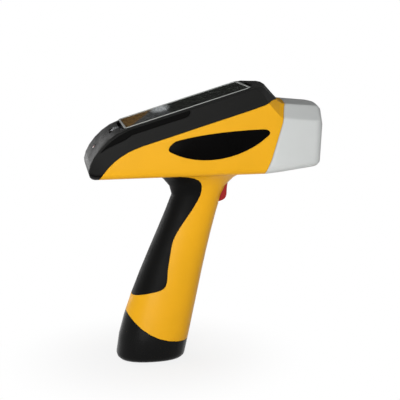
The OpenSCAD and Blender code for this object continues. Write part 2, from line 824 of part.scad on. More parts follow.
module battery_contacts() {
    color([0.75, 0.65, 0.35]) on_rake() {
        block([-16.8, 0.8], [-9, 9], [well_top + 0.2, well_top + contact_h]);
        for (x = [-12, -8, -4]) block([x - 0.8, x + 0.8], [-4, 4], [pack_top - 0.5, well_top + 1]);
    }
}

// ---- Inside the head -------------------------------------------------------------------------------------

board_x = [-64, -8];
board_z = chassis_z + 7.5;
supply_x = [-2, nose_reach - 69.5];
standoff_at = [for (x = [board_x[0] + 5, board_x[1] - 5]) for (y = [-26, 26]) [x, y]];
measure_back = -43;
measure_front = -wall - 0.5;
measure_drop = 24;
wheel_off = 13;
wheel_x = [-9.5, -7.5];
beam_tilt = 20;
detector_tilt = 22;
tube_start = 22.5;
detector_start = 23;
detector_len = 16;

module chassis() {
    color([0.72, 0.73, 0.75]) {
        difference() {
            block([board_x[0] - 2, nose_root + 9], [-32, 32], [chassis_z, chassis_z + chassis_t]);
            block([-8, 12], [-12, 12], [chassis_z - 1, chassis_z + 3]);
        }
        for (p = standoff_at)
            translate([p[0], p[1], chassis_z + 1]) cylinder(r = 3, h = board_z - chassis_z - 1.05);
        intersection() {
            on_nose() block([-40, -30], [-14, 14], [-measure_drop - 9, -measure_drop - 0.05]);
            block([0, 200], [-20, 20], [chassis_z, 200]);
        }
    }
}
module main_board() {
    color([0.10, 0.35, 0.18]) {
        block(board_x, [-30, 30], [board_z, board_z + 1.6]);
        for (p = [[-60, -18, 14, 14], [-38, 4, 18, 12], [-60, 8, 10, 16], [-30, -22, 12, 10]])
            block([p[0], p[0] + p[2]], [p[1], p[1] + p[3]], [board_z + 1.5, board_z + 4]);
    }
}
module high_voltage_supply() {
    color([0.30, 0.31, 0.33]) difference() {
        block(supply_x, [-24, 24], [chassis_z + chassis_t + 0.05, chassis_z + 34]);
        for (x = [supply_x[0] + 8:8:supply_x[1] - 12])
            block([x, x + 4], [-30, 30], [chassis_z + 31, chassis_z + 40]);
    }
}

module beam(tilt, r, from, to) {
    translate([measure_front, 0, 0]) rotate([0, -90 - tilt, 0])
        translate([0, 0, from]) cylinder(r = r, h = to - from);
}
block_outline = [
    [-22, -measure_drop], [28, -measure_drop], [31, -18], [31, 7], [21.5, 21], [-16, 22], [-22, 16]
];
module measuring_block() {
    color([0.75, 0.76, 0.78]) on_nose() difference() {
        translate([measure_back, 0, 0]) rotate([90, 0, 90])
            linear_extrude(height = measure_front - measure_back) polygon(block_outline);
        bar_x(0, 0, 4, -25, 0);
        beam(beam_tilt, tube_r + 0.05, tube_start - 0.2, 90);
        beam(-detector_tilt, detector_r + 0.05, detector_start - 0.2, detector_start + detector_len + 0.2);
        bar_x(wheel_off, 0, wheel_r + 0.6, wheel_x[0] - 0.5, wheel_x[1] + 0.5);
        bar_x(wheel_off, 0, 6.05, -27, wheel_x[0]);
        bar_x(0, -plunger_drop, plunger_r + 0.1, -14, 0);
        for (y = [-1, 1]) for (z = [-1, 1]) bar_x(y * (plate_w / 2 - 4), z * (plate_h / 2 - 4), 1.3, -6.8, 0);
    }
}
module xray_tube() {
    color([0.80, 0.78, 0.74]) on_nose() {
        beam(beam_tilt, tube_r, tube_start + 4, tube_start + tube_len);
        beam(beam_tilt, tube_r - 3, tube_start, tube_start + 5);
        beam(beam_tilt, tube_r - 4.5, tube_start + tube_len - 1, tube_start + tube_len + 3);
    }
}
module detector() {
    color([0.82, 0.82, 0.80]) on_nose() {
        beam(-detector_tilt, detector_r, detector_start + 3, detector_start + detector_len);
        beam(-detector_tilt, detector_r - 2, detector_start, detector_start + 4);
    }
}
module detector_cooler() {
    color([0.65, 0.66, 0.68]) on_nose() {
        block([measure_back - 3, measure_back - 0.05], [-18, 18], [2, 16]);
        for (y = [-18:5.75:17])
            block([measure_back - 13, measure_back - 2], [y, y + 1.5], [2, 16]);
    }
}
module filter_motor() {
    color([0.55, 0.56, 0.58]) on_nose() difference() {
        bar_x(wheel_off, 0, 6, -26.8, wheel_x[0] - 0.8);
        bar_x(wheel_off, 0, 1 + run_gap, -20, 0);
    }
}
hole_count = 8;
module filter_wheel() {
    color([0.60, 0.61, 0.63]) on_nose() {
        difference() {
            bar_x(wheel_off, 0, wheel_r, wheel_x[0], wheel_x[1]);
            for (i = [0:hole_count - 1]) translate([0, wheel_off, 0]) rotate([i * 360 / hole_count, 0, 0])
                bar_x(-wheel_off, 0, 3.5, -20, 0);
        }
        bar_x(wheel_off, 0, 1, -18, wheel_x[0] + 0.5);
    }
}
module filter_discs() {
    color([0.72, 0.45, 0.30]) on_nose() for (i = [1:hole_count - 1])
        translate([0, wheel_off, 0]) rotate([i * 360 / hole_count, 0, 0])
            bar_x(-wheel_off, 0, 3.45, wheel_x[0] + 0.6, wheel_x[0] + 1.2);
}
module window_plate() {
    color([0.35, 0.36, 0.37]) on_nose() difference() {
        rotate([0, 90, 0]) rounded_slab(-plate_h / 2, plate_h / 2, plate_w, 4, -wall, 0);
        bar_x(0, 0, window_r, -10, 5);
        for (y = [-1, 1]) for (z = [-1, 1]) {
            bar_x(y * (plate_w / 2 - 4), z * (plate_h / 2 - 4), 1.3, -10, 5);
            bar_x(y * (plate_w / 2 - 4), z * (plate_h / 2 - 4), 2.5, -1.3, 5);
        }
    }
}
module window_film() {
    color([0.85, 0.6, 0.2]) on_nose() bar_x(0, 0, window_r + 2.5, measure_front + 0.1, -wall - 0.1);
}
module plate_screws() {
    color([0.6, 0.6, 0.62]) on_nose() for (y = [-1, 1]) for (z = [-1, 1])
        translate([0, y * (plate_w / 2 - 4), z * (plate_h / 2 - 4)]) difference() {
            union() {
                bar_x(0, 0, 1.25, -6.5, -0.5);
                bar_x(0, 0, 2.4, -1.25, -0.1);
            }
            translate([-0.7, -3, -0.3]) cube([2, 6, 0.6]);
        }
}
module proximity_plunger() {
    color([0.2, 0.2, 0.2]) on_nose() {
        bar_x(0, -plunger_drop, plunger_r, -6, plunger_out - 0.6);
        translate([plunger_out - 0.6, 0, -plunger_drop]) rotate([0, 90, 0])
            cylinder(r1 = plunger_r, r2 = plunger_r - 0.6, h = 0.6);
    }
}
module plunger_spring() {
    color([0.7, 0.7, 0.72]) on_nose() translate([-13.9, 0, -plunger_drop])
        rotate([0, 90, 0]) coil(1.3, 0.25, 5, 7.8);
}

right_shell();
left_shell();
top_cover();
nose_boot();
rubber_grip();
right_side_plate();
left_side_plate();
status_lens();
lens_ring();
cover_screws();
housing_screws();
latch_spring();
terminal_latch();
terminal_case();
terminal_bezel();
terminal_glass();
terminal_display();
dock_connector();
trigger();
trigger_pin();
trigger_spring();
trigger_switch();
battery_pack();
base_cap();
foot_screws();
battery_contacts();
chassis();
high_voltage_supply();
main_board();
measuring_block();
xray_tube();
detector();
detector_cooler();
filter_motor();
filter_wheel();
filter_discs();
window_plate();
window_film();
plate_screws();
proximity_plunger();
plunger_spring();
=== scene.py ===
"""Looks of the handheld X-ray fluorescence analyser: finishes, softened edges, studio and camera."""

import json
import math

import bpy
from bpy.props import FloatProperty, FloatVectorProperty, PointerProperty
from mathutils import Matrix, Vector

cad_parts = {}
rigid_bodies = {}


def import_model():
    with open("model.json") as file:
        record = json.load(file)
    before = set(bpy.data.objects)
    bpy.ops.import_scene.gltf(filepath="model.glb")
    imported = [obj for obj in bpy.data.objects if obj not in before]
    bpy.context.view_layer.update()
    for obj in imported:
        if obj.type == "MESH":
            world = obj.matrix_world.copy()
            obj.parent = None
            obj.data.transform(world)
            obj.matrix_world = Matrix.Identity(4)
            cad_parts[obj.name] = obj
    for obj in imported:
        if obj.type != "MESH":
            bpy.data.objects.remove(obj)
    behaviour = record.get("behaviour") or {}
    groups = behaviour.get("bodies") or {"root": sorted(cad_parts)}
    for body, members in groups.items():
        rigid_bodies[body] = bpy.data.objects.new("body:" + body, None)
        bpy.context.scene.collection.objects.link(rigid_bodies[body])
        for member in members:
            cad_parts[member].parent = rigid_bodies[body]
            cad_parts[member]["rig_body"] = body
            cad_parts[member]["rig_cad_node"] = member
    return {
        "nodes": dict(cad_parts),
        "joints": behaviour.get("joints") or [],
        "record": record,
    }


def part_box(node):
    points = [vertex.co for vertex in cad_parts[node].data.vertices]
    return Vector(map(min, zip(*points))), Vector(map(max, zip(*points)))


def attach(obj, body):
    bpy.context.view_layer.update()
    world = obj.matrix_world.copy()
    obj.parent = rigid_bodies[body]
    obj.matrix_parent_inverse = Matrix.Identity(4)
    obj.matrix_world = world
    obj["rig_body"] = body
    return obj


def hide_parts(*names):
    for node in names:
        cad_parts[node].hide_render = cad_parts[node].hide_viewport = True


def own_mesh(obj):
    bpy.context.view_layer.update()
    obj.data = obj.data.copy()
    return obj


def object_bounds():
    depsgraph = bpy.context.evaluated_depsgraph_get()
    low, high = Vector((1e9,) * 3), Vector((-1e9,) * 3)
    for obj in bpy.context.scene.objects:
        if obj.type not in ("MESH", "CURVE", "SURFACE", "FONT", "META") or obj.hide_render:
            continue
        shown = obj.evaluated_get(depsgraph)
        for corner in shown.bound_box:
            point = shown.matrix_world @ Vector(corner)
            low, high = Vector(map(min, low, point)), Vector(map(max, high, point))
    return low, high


bl_info = {
    "name": "Handheld analyser",
    "version": (1, 0, 0),
    "blender": (4, 5, 0),
    "location": "3D View > Sidebar > Analyser",
    "description": "Dresses the packed analyser: shells, cover, nose, grip, terminal, trigger, battery and studio",
    "category": "Object",
}

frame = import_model()
cad_low, cad_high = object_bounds()
BODY_OF = {node: body for body, nodes in frame["record"]["behaviour"]["bodies"].items() for node in nodes}
WAY_OF = {joint["name"]: Vector(joint["axis"]) for joint in frame["joints"]}
DECK_NORMAL = WAY_OF["terminal_lift"].normalized()


# ---- Sizes and colours ------------------------------------------------------------------------


# Vertices closer than WELD, in metres, are merged, and faces that meet at less than FLAT become one
WELD = 0.000003
FLAT = math.radians(0.4)

# Scales of the patterns on moulded pieces, in waves per metre
GRAIN = 2600.0
PEEL = 420.0

# Edges of the painted shade in the cover's sunk bands, in metres inside its widest place, and of the bezel's silver,
# below its top
SHADED_BAND_EDGE = (0.0006, 0.0003)
SILVER_EDGE = (0.00045, 0.0003)

# Reflections painted on the display, which glows with them, in shares of the terminal's length from its rear edge:
# slant and edge of the warm reflection, middle, flattening and edge of the bright reflected patch, edge of the faint
# one
WARM_REFLECTION_SLANT = (1.0, -0.37, 0.0)
WARM_REFLECTION_EDGE = (0.15, 0.18)
REFLECTED_PATCH_MIDDLE = (0.33, 0.17, 0.0)
REFLECTED_PATCH_SHAPE = (1.0, 0.32, 0.0)
REFLECTED_PATCH_EDGE = (0.03, 0.085)
FAINT_REFLECTION_EDGE = (0.35, 0.39)

# Springs: node, joint, way that its moving end is pushed, share of its length kept at the joint's limit
SPRINGS = (
    ("latch_spring", "latch_slide", WAY_OF["latch_slide"], 0.41),
    ("trigger_spring", "trigger_pull", Vector((-1, 0, 0)), 0.73),
    ("plunger_spring", "plunger_press", WAY_OF["plunger_press"], 0.66),
)

# Lamps: name, place, point that it faces, side in metres, watts
LAMPS = (
    ("key", (-0.5, -1.6, 0.2), (0, 0, 0.03), 1.0, 24),
    ("front", (1.1, -0.9, 0.35), (0.05, 0, 0.05), 0.8, 1),
    ("rear", (-1.1, 0.4, 0.6), (-0.05, 0, 0), 0.7, 3),
    ("back", (-0.75, 1.15, 0.35), (0, 0, 0.02), 0.8, 6),
)
SKY_FILL = 0.13

# Floor: its side, the distances from the foot over which its shading fades, and its white share at the foot
FLOOR_SIZE = 12
SHADING_NEAR, SHADING_FAR = 0.03, 0.17
WHITE_AT_FOOT = 0.84

# Dark card behind, which the terminal's glass mirrors
CARD_PLACE = (0, 1.3, 0.60)
CARD_TURN = (math.radians(80), 0, 0)
CARD_SIZE = (1.8, 1.1, 1)


def colour(label, value):
    """A colour that can be picked in the panel, in linear light."""
    return FloatVectorProperty(name=label, description=label, subtype="COLOR", size=3, min=0, max=1, default=value)


def length(label, value, top):
    """A length in metres that can be set in the panel."""
    return FloatProperty(name=label, description=label, default=value, min=0, max=top, subtype="DISTANCE",
                         unit="LENGTH", precision=5)


class HousingLook(bpy.types.PropertyGroup):
    """Yellow shells and their black side plates"""

    paint: colour("Yellow of the shells", (0.90, 0.445, 0.012))
    plate: colour("Black of the side plates", (0.0016, 0.0014, 0.0014))
    edge: length("Softness of the shells' edges", 0.0009, 0.002)


class CoverLook(bpy.types.PropertyGroup):
    """Black top cover, its latch and status lens"""

    plastic: colour("Black of the cover", (0.0055, 0.0055, 0.0050))
    latch: colour("Grey of the latch", (0.16, 0.17, 0.175))
    lens: colour("Red of the status lens", (0.30, 0.10, 0.09))
    edge: length("Softness of the cover's edges", 0.0005, 0.002)


class NoseLook(bpy.types.PropertyGroup):
    """Pale nose and its window plate"""

    boot: colour("Grey of the nose", (0.67, 0.69, 0.68))
    plate: colour("Grey of the window plate", (0.08, 0.083, 0.085))
    film: colour("Amber of the window film", (0.55, 0.26, 0.03))
    edge: length("Softness of the nose's edges", 0.004, 0.006)


class GripLook(bpy.types.PropertyGroup):
    """Rubber grip, battery foot and trigger"""

    rubber: colour("Black of the rubber", (0.0022, 0.0022, 0.0021))
    foot: colour("Black of the foot", (0.0020, 0.0020, 0.0019))
    battery: colour("Grey of the battery's case", (0.03, 0.031, 0.035))
    trigger: colour("Red of the trigger", (0.30, 0.010, 0.011))
    edge: length("Softness of the trigger's edges", 0.0012, 0.002)


class TerminalLook(bpy.types.PropertyGroup):
    """Pocket terminal on the deck"""

    case: colour("Black of the case", (0.010, 0.010, 0.010))
    bezel: colour("Silver of the bezel", (0.26, 0.27, 0.26))
    # The warm end and the bright patch are reflections painted on the display, which glows with them
    warm: colour("Warm end of the display", (0.14, 0.070, 0.012))
    bright: colour("Bright patch of the display", (0.52, 0.53, 0.55))
    dark: colour("Dark of the display", (0.008, 0.010, 0.007))
    edge: length("Softness of the terminal's edges", 0.0004, 0.002)


class StudioLook(bpy.types.PropertyGroup):
    """Floor, lamps and camera"""

    floor: colour("Colour of the floor", (0.9, 0.9, 0.9))
    distance: length("Distance from the camera to the middle of the picture", 1.1379, 5)
    target: FloatVectorProperty(name="Middle of the picture", description="Point that the camera looks at",
                                subtype="XYZ", size=3, default=(0.01855, 0.0, 0.0318))
    azimuth: FloatProperty(name="Azimuth", description="Turn of the camera about the object, in degrees", default=-8.7)
    elevation: FloatProperty(name="Elevation", description="Height of the camera's view, in degrees", default=10.9)
    roll: FloatProperty(name="Roll", description="Roll of the camera, in degrees", default=0.7)
    lens: FloatProperty(name="Lens", description="Focal length in millimetres", default=99.0)


LOOKS = {
    "analyser_housing": HousingLook,
    "analyser_cover": CoverLook,
    "analyser_nose": NoseLook,
    "analyser_grip": GripLook,
    "analyser_terminal": TerminalLook,
    "analyser_studio": StudioLook,
}


# ---- Node trees ---------------------------------------------------------------------------------


def new_node(tree, kind, inputs=None, **attributes):
    """A node with its attributes set and its inputs set or linked."""
    node = tree.nodes.new(kind)
    for name, value in attributes.items():
        setattr(node, name, value)
    for name, value in (inputs or {}).items():
        if isinstance(value, bpy.types.NodeSocket):
            tree.links.new(value, node.inputs[name])
        else:
            node.inputs[name].default_value = value
    return node


class Finish:
    """Node tree of one finish. Its patterns are read in the piece's own coordinates."""

    def __init__(self, name, base, roughness, metallic=0.0, **sockets):
        self.material = bpy.data.materials.new(name)
        self.material.use_nodes = True
        self.tree = self.material.node_tree
        self.shader = self.tree.nodes["Principled BSDF"]
        self.shader.inputs["Base Color"].default_value = (*base, 1)
        self.shader.inputs["Roughness"].default_value = roughness
        self.shader.inputs["Metallic"].default_value = metallic
        for socket, value in sockets.items():
            self.shader.inputs[socket.replace("_", " ")].default_value = value
        self.base = base
        self.roughness = roughness
        self.place = self.add("ShaderNodeTexCoord").outputs["Object"]

    def add(self, kind, inputs=None, **attributes):
        return new_node(self.tree, kind, inputs, **attributes)

    def link(self, source, socket):
        self.tree.links.new(source, self.shader.inputs[socket])

    def sideways(self, vector):
        """How far a vector reaches to either side of the middle plane."""
        side = self.add("ShaderNodeSeparateXYZ", {"Vector": vector}).outputs["Y"]
        return self.add("ShaderNodeMath", {0: side}, operation="ABSOLUTE").outputs[0]

    def stretched(self, scale, turn=(0, 0, 0)):
        """Coordinates scaled along the axes, for brushed and drawn surfaces."""
        return self.add("ShaderNodeMapping", {"Vector": self.place, "Scale": scale, "Rotation": turn}).outputs[0]

    def noise(self, scale, detail=3.0, vector=None):
        values = {"Vector": vector or self.place, "Scale": scale, "Detail": detail, "Roughness": 0.55}
        return self.add("ShaderNodeTexNoise", values).outputs[0]

    def ranged(self, source, low, high, start=0.3, end=0.7):
        values = {"Value": source, "From Min": start, "From Max": end, "To Min": low, "To Max": high}
        return self.add("ShaderNodeMapRange", values).outputs[0]

    def mixed(self, factor, first, second):
        """Mix of two colours, either of which may be a link."""
        node = self.add("ShaderNodeMix", data_type="RGBA")
        for index, value in ((0, factor), (6, first), (7, second)):
            if isinstance(value, bpy.types.NodeSocket):
                self.tree.links.new(value, node.inputs[index])
            else:
                node.inputs[index].default_value = value if index == 0 else (*value, 1)
        return node.outputs[2]

    def shades(self, spread, scale=22.0):
        """Slow drift of the colour about its mean."""
        dark = tuple(channel * (1 - spread) for channel in self.base)
        light = tuple(min(1.0, channel * (1 + spread)) for channel in self.base)
        return self.mixed(self.ranged(self.noise(scale), 0.0, 1.0), dark, light)

    def colour(self, source):
        self.link(source, "Base Color")

    def gloss(self, spread, scale=90.0):
        """Roughness that varies a little over the surface."""
        source = self.noise(scale, 4.0)
        self.link(self.ranged(source, self.roughness - spread, self.roughness + spread), "Roughness")

    def relief(self, *layers, rounding=0.0):
        """Bumps stacked from (height source, height in metres) pairs, over edges rounded by the given radius."""
        normal = None
        if rounding:
            normal = self.add("ShaderNodeBevel", {"Radius": rounding}, samples=4).outputs[0]
        for source, height in layers:
            inputs = {"Height": source, "Distance": height, "Strength": 1.0}
            if normal is not None:
                inputs["Normal"] = normal
            normal = self.add("ShaderNodeBump", inputs).outputs[0]
        self.link(normal, "Normal")


def moulded(name, base, roughness, grain=0.000006, spread=0.03, gloss=0.04, rounding=0.0, **sockets):
    """Moulded plastic: fine spark-eroded grain over a slow orange peel, with colour that drifts slightly."""
    finish = Finish(name, base, roughness, **sockets)
    finish.colour(finish.shades(spread))
    finish.gloss(gloss)
    finish.relief((finish.noise(PEEL, 2.0), grain * 1.5), (finish.noise(GRAIN, 2.0), grain), rounding=rounding)
    return finish.material


def cover_plastic(name, look, widest):
    """Moulded black of the cover, with painted shade in the bands that are sunk into its flanks: a deeper black and a
    weaker specular there.
    """
    finish = Finish(name, look.plastic, 0.42)
    start, end = (widest - depth for depth in SHADED_BAND_EDGE)
    inside = finish.ranged(finish.sideways(finish.place), 1.0, 0.0, start, end)
    normal = finish.add("ShaderNodeTexCoord").outputs["Normal"]
    flank = finish.ranged(finish.sideways(normal), 0.0, 1.0, 0.8, 0.9)
    # Painted shade: the sunk bands on the flanks get a third of the cover's black and a weaker specular
    painted_shade_band = finish.add("ShaderNodeMath", {0: inside, 1: flank}, operation="MULTIPLY").outputs[0]
    finish.colour(finish.mixed(painted_shade_band, finish.shades(0.06), tuple(0.3 * c for c in look.plastic)))
    finish.link(finish.ranged(painted_shade_band, 0.11, 0.03, 0.0, 1.0), "Specular IOR Level")
    finish.gloss(0.04)
    finish.relief((finish.noise(PEEL, 2.0), 0.000012), (finish.noise(GRAIN, 2.0), 0.000008), rounding=look.edge)
    return finish.material


def soft_rubber(name, base):
    """Over-moulded rubber: velvety, with a fine pebble and faint marks of handling."""
    finish = Finish(name, base, 0.48, Sheen_Weight=0.005, Sheen_Roughness=0.4, Specular_IOR_Level=0.06)
    rubbed = tuple(channel * 2.0 for channel in base)
    finish.colour(finish.mixed(finish.ranged(finish.noise(35.0, 5.0), 0.0, 0.55, 0.45, 0.75), base, rubbed))
    finish.gloss(0.07, 60.0)
    pebble = finish.add("ShaderNodeTexVoronoi", {"Vector": finish.place, "Scale": 1500.0}).outputs["Distance"]
    finish.relief((pebble, 0.00002), (finish.noise(GRAIN, 2.0), 0.000008))
    return finish.material


def brushed(name, base, roughness, along=(40.0, 1400.0, 1400.0)):
    """Metal with fine lines drawn one way."""
    finish = Finish(name, base, roughness, 1.0)
    lines = finish.noise(1.0, 4.0, finish.stretched(along))
    finish.colour(finish.mixed(finish.ranged(lines, 0.0, 1.0), tuple(0.88 * c for c in base), base))
    finish.link(finish.ranged(lines, roughness - 0.06, roughness + 0.08), "Roughness")
    finish.relief((lines, 0.000004))
    return finish.material


def bezel_rim(name, look, top, turn):
    """Silver rim of the terminal, black below its thin upper edge."""
    finish = Finish(name, look.bezel, 0.52, 1.0)
    lines = finish.noise(1.0, 4.0, finish.stretched((30.0, 900.0, 900.0), turn))
    level = finish.add("ShaderNodeVectorMath", {0: finish.place, 1: tuple(DECK_NORMAL)}, operation="DOT_PRODUCT")
    start, end = (top - depth for depth in SILVER_EDGE)
    upper = finish.ranged(level.outputs["Value"], 0.0, 1.0, start, end)
    silver = finish.mixed(finish.ranged(lines, 0.0, 1.0), tuple(0.85 * c for c in look.bezel), look.bezel)
    finish.colour(finish.mixed(upper, look.case, silver))
    finish.link(finish.ranged(lines, 0.46, 0.58), "Roughness")
    finish.relief((lines, 0.000004))
    return finish.material


def blasted(name, base, roughness):
    """Bead-blasted aluminium."""
    finish = Finish(name, base, roughness, 1.0)
    finish.colour(finish.shades(0.04, 60.0))
    finish.gloss(0.05, 300.0)
    finish.relief((finish.noise(3200.0, 2.0), 0.000006))
    return finish.material


def polished_plate(name, base):
    """Polished black plate with the faintest haze."""
    finish = Finish(name, base, 0.28, Specular_IOR_Level=0.02)
    finish.colour(finish.shades(0.2, 30.0))
    finish.gloss(0.04, 45.0)
    finish.relief((finish.noise(160.0, 2.0), 0.000004))
    return finish.material


def screen_glass(name):
    """Cover glass of the terminal."""
    finish = Finish(name, (0.85, 0.87, 0.86), 0.04, Transmission_Weight=1.0, IOR=1.45)
    finish.gloss(0.015, 40.0)
    finish.relief((finish.noise(25.0, 2.0), 0.000002))
    return finish.material


def display_painted_reflections(name, look, rear, ahead):
    """Display that glows with painted reflections: a warm end, a bright patch and a dark rest, along the terminal from
    its rear edge.
    """
    finish = Finish(name, look.dark, 0.3, Specular_IOR_Level=0.05, Emission_Strength=0.85)
    size = ahead.length
    turn = (0, math.atan2(ahead.z, ahead.x), 0)
    at = finish.add("ShaderNodeMapping", {"Vector": finish.place, "Location": -rear / size, "Scale": (1 / size,) * 3})
    level = finish.add("ShaderNodeMapping", {"Vector": at.outputs[0], "Rotation": turn})
    along = finish.add("ShaderNodeSeparateXYZ", {"Vector": level.outputs[0]})
    wander = finish.ranged(finish.noise(12.0, 2.0), -0.02, 0.02)
    slant = finish.add("ShaderNodeVectorMath", {0: level.outputs[0], 1: WARM_REFLECTION_SLANT}, operation="DOT_PRODUCT")
    reach = finish.add("ShaderNodeMath", {0: slant.outputs["Value"], 1: wander}, operation="ADD").outputs[0]
    centre = finish.add("ShaderNodeVectorMath", {0: level.outputs[0], 1: REFLECTED_PATCH_MIDDLE}, operation="SUBTRACT")
    spot = finish.add("ShaderNodeVectorMath", {0: centre.outputs[0], 1: REFLECTED_PATCH_SHAPE}, operation="MULTIPLY")
    away = finish.add("ShaderNodeVectorMath", {0: spot.outputs[0]}, operation="LENGTH").outputs["Value"]
    # Faint painted reflection, a dim copy of the bright colour, over the rear of the display
    faint_reflection_share = finish.ranged(along.outputs[0], 1.0, 0.0, *FAINT_REFLECTION_EDGE)
    dark_and_faint_reflection = finish.mixed(faint_reflection_share, look.dark, tuple(0.12 * c for c in look.bright))
    rest = finish.mixed(finish.ranged(away, 1.0, 0.0, *REFLECTED_PATCH_EDGE), dark_and_faint_reflection, look.bright)
    # The painted reflections are both the display's colour and its glow
    picture = finish.mixed(finish.ranged(reach, 1.0, 0.0, *WARM_REFLECTION_EDGE), rest, look.warm)
    finish.colour(picture)
    finish.link(picture, "Emission Color")
    finish.gloss(0.05)
    return finish.material


def circuit_board(name):
    """Green solder resist with lighter tracks."""
    finish = Finish(name, (0.01, 0.10, 0.035), 0.35)
    tracks = finish.add("ShaderNodeTexBrick", {"Vector": finish.place, "Scale": 260.0, "Mortar Size": 0.035,
                                               "Color1": (0.010, 0.10, 0.035, 1), "Color2": (0.012, 0.12, 0.04, 1),
                                               "Mortar": (0.05, 0.26, 0.10, 1)})
    finish.colour(tracks.outputs["Color"])
    finish.gloss(0.06)
    finish.relief((tracks.outputs["Fac"], 0.00002))
    return finish.material


def clear_lens(name, base):
    """Small moulded lens over a lamp that is off."""
    finish = Finish(name, base, 0.12, Coat_Weight=0.6, Coat_Roughness=0.05)
    finish.colour(finish.shades(0.25, 900.0))
    finish.gloss(0.03, 700.0)
    return finish.material


def stretched_film(name, base):
    """Thin amber film, drawn tight over the window."""
    finish = Finish(name, base, 0.18, Coat_Weight=0.4, Coat_Roughness=0.1)
    finish.colour(finish.shades(0.12, 200.0))
    finish.relief((finish.noise(300.0, 2.0), 0.00001))
    return finish.material


# ---- Making pieces --------------------------------------------------------------------------------


def work_on(*pieces):
    """Selects these objects and nothing else, in object mode."""
    if bpy.context.mode != "OBJECT":
        bpy.ops.object.mode_set(mode="OBJECT")
    bpy.ops.object.select_all(action="DESELECT")
    for piece in pieces:
        piece.select_set(True)
    bpy.context.view_layer.objects.active = pieces[0]


def dressed(node, material, soften=0.0, crease=32.0):
    """Copy of a construction node, which it stands for, with merged vertices, softened edges and its finish on."""
    work_on(frame["nodes"][node])
    bpy.ops.object.duplicate()
    piece = bpy.context.view_layer.objects.active
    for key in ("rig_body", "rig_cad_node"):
        del piece[key]
    piece.parent = None
    piece.name = piece.data.name = f"{node}_finished"
    if piece.data.has_custom_normals:
        bpy.ops.mesh.customdata_custom_splitnormals_clear()
    bpy.ops.object.mode_set(mode="EDIT")
    bpy.ops.mesh.select_all(action="SELECT")
    bpy.ops.mesh.remove_doubles(threshold=WELD)
    bpy.ops.mesh.dissolve_limited(angle_limit=FLAT)
    bpy.ops.object.mode_set(mode="OBJECT")
    if soften:
        bevel = piece.modifiers.new("softened edges", "BEVEL")
        bevel.width = soften
        bevel.segments = 3
        bevel.limit_method = "ANGLE"
        bevel.angle_limit = math.radians(crease)
        bevel.use_clamp_overlap = True
        bpy.ops.object.modifier_apply(modifier=bevel.name)
    bpy.ops.object.shade_smooth_by_angle(angle=math.radians(crease))
    piece.data.materials.clear()
    piece.data.materials.append(material)
    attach(piece, BODY_OF[node])
    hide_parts(node)
    return piece


def pressed(piece):
    """Gives the spring a mesh of its own."""
    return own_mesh(piece)


# ---- Operators: one for each piece or group of like pieces -------------------------------------------


class DressHousing(bpy.types.Operator):
    """Yellow shells with a satin moulded finish, and the bare black plates let into their sides"""

    bl_idname = "analyser.dress_housing"
    bl_label = "Housing"

    def execute(self, context):
        look = context.scene.analyser_housing
        yellow = moulded("shell_yellow", look.paint, 0.40, spread=0.025, rounding=look.edge, Specular_IOR_Level=0.14)
        plate = polished_plate("plate_black", look.plate)
        for side in ("right", "left"):
            dressed(f"{side}_shell", yellow)
            dressed(f"{side}_side_plate", plate, 0.0003)
        return {"FINISHED"}


class DressCover(bpy.types.Operator):
    """Black cover, its latch with thumb ribs, status lens in its ring and the two small screws"""

    bl_idname = "analyser.dress_cover"
    bl_label = "Cover"

    def execute(self, context):
        look = context.scene.analyser_cover
        black = cover_plastic("cover_black", look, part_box("top_cover")[1].y)
        steel = brushed("screw_steel", (0.11, 0.11, 0.115), 0.34)
        dressed("top_cover", black)
        dressed("terminal_latch", moulded("latch_grey", look.latch, 0.45), 0.00025)
        dressed("lens_ring", black, 0.0001)
        dressed("status_lens", clear_lens("lens_red", look.lens))
        dressed("cover_screws", steel, 0.0001)
        return {"FINISHED"}


class DressNose(bpy.types.Operator):
    """Pale satin nose, window plate with its screws and film, and the proximity plunger"""

    bl_idname = "analyser.dress_nose"
    bl_label = "Nose"

    def execute(self, context):
        look = context.scene.analyser_nose
        grey = moulded("nose_grey", look.boot, 0.44, spread=0.02, rounding=look.edge, Specular_IOR_Level=0.2)
        dressed("nose_boot", grey)
        dressed("window_plate", moulded("window_plate_grey", look.plate, 0.4), 0.0003)
        dressed("window_film", stretched_film("film_amber", look.film))
        dressed("plate_screws", brushed("plate_screw_steel", (0.55, 0.55, 0.56), 0.3), 0.0001)
        dressed("proximity_plunger", moulded("plunger_black", (0.02, 0.02, 0.02), 0.4), 0.0002)
        return {"FINISHED"}


class DressGrip(bpy.types.Operator):
    """Rubber grip on the back of the handle"""

    bl_idname = "analyser.dress_grip"
    bl_label = "Rubber grip"

    def execute(self, context):
        dressed("rubber_grip", soft_rubber("grip_rubber", context.scene.analyser_grip.rubber))
        return {"FINISHED"}


class DressBattery(bpy.types.Operator):
    """Battery pack with its black foot, foot screws and contacts"""

    bl_idname = "analyser.dress_battery"
    bl_label = "Battery"

    def execute(self, context):
        look = context.scene.analyser_grip
        foot = moulded("foot_black", look.foot, 0.26, grain=0.000008, spread=0.06, rounding=0.0004,
                       Specular_IOR_Level=0.11)
        dressed("base_cap", foot)
        dressed("battery_pack", moulded("battery_grey", look.battery, 0.45), 0.0004)
        dressed("foot_screws", brushed("foot_screw_steel", (0.12, 0.12, 0.125), 0.35), 0.00015)
        dressed("battery_contacts", brushed("contact_brass", (0.72, 0.52, 0.20), 0.25), 0.0002)
        return {"FINISHED"}


class DressTrigger(bpy.types.Operator):
    """Red trigger with rounded edges, its pin and its switch"""

    bl_idname = "analyser.dress_trigger"
    bl_label = "Trigger"

    def execute(self, context):
        look = context.scene.analyser_grip
        red = moulded("trigger_red", look.trigger, 0.36, spread=0.04, Specular_IOR_Level=0.25)
        dressed("trigger", red, look.edge)
        dressed("trigger_pin", brushed("pin_steel", (0.6, 0.6, 0.62), 0.22, (900.0, 60.0, 900.0)), 0.0002)
        dressed("trigger_switch", moulded("switch_black", (0.02, 0.02, 0.022), 0.42), 0.0002)
        return {"FINISHED"}


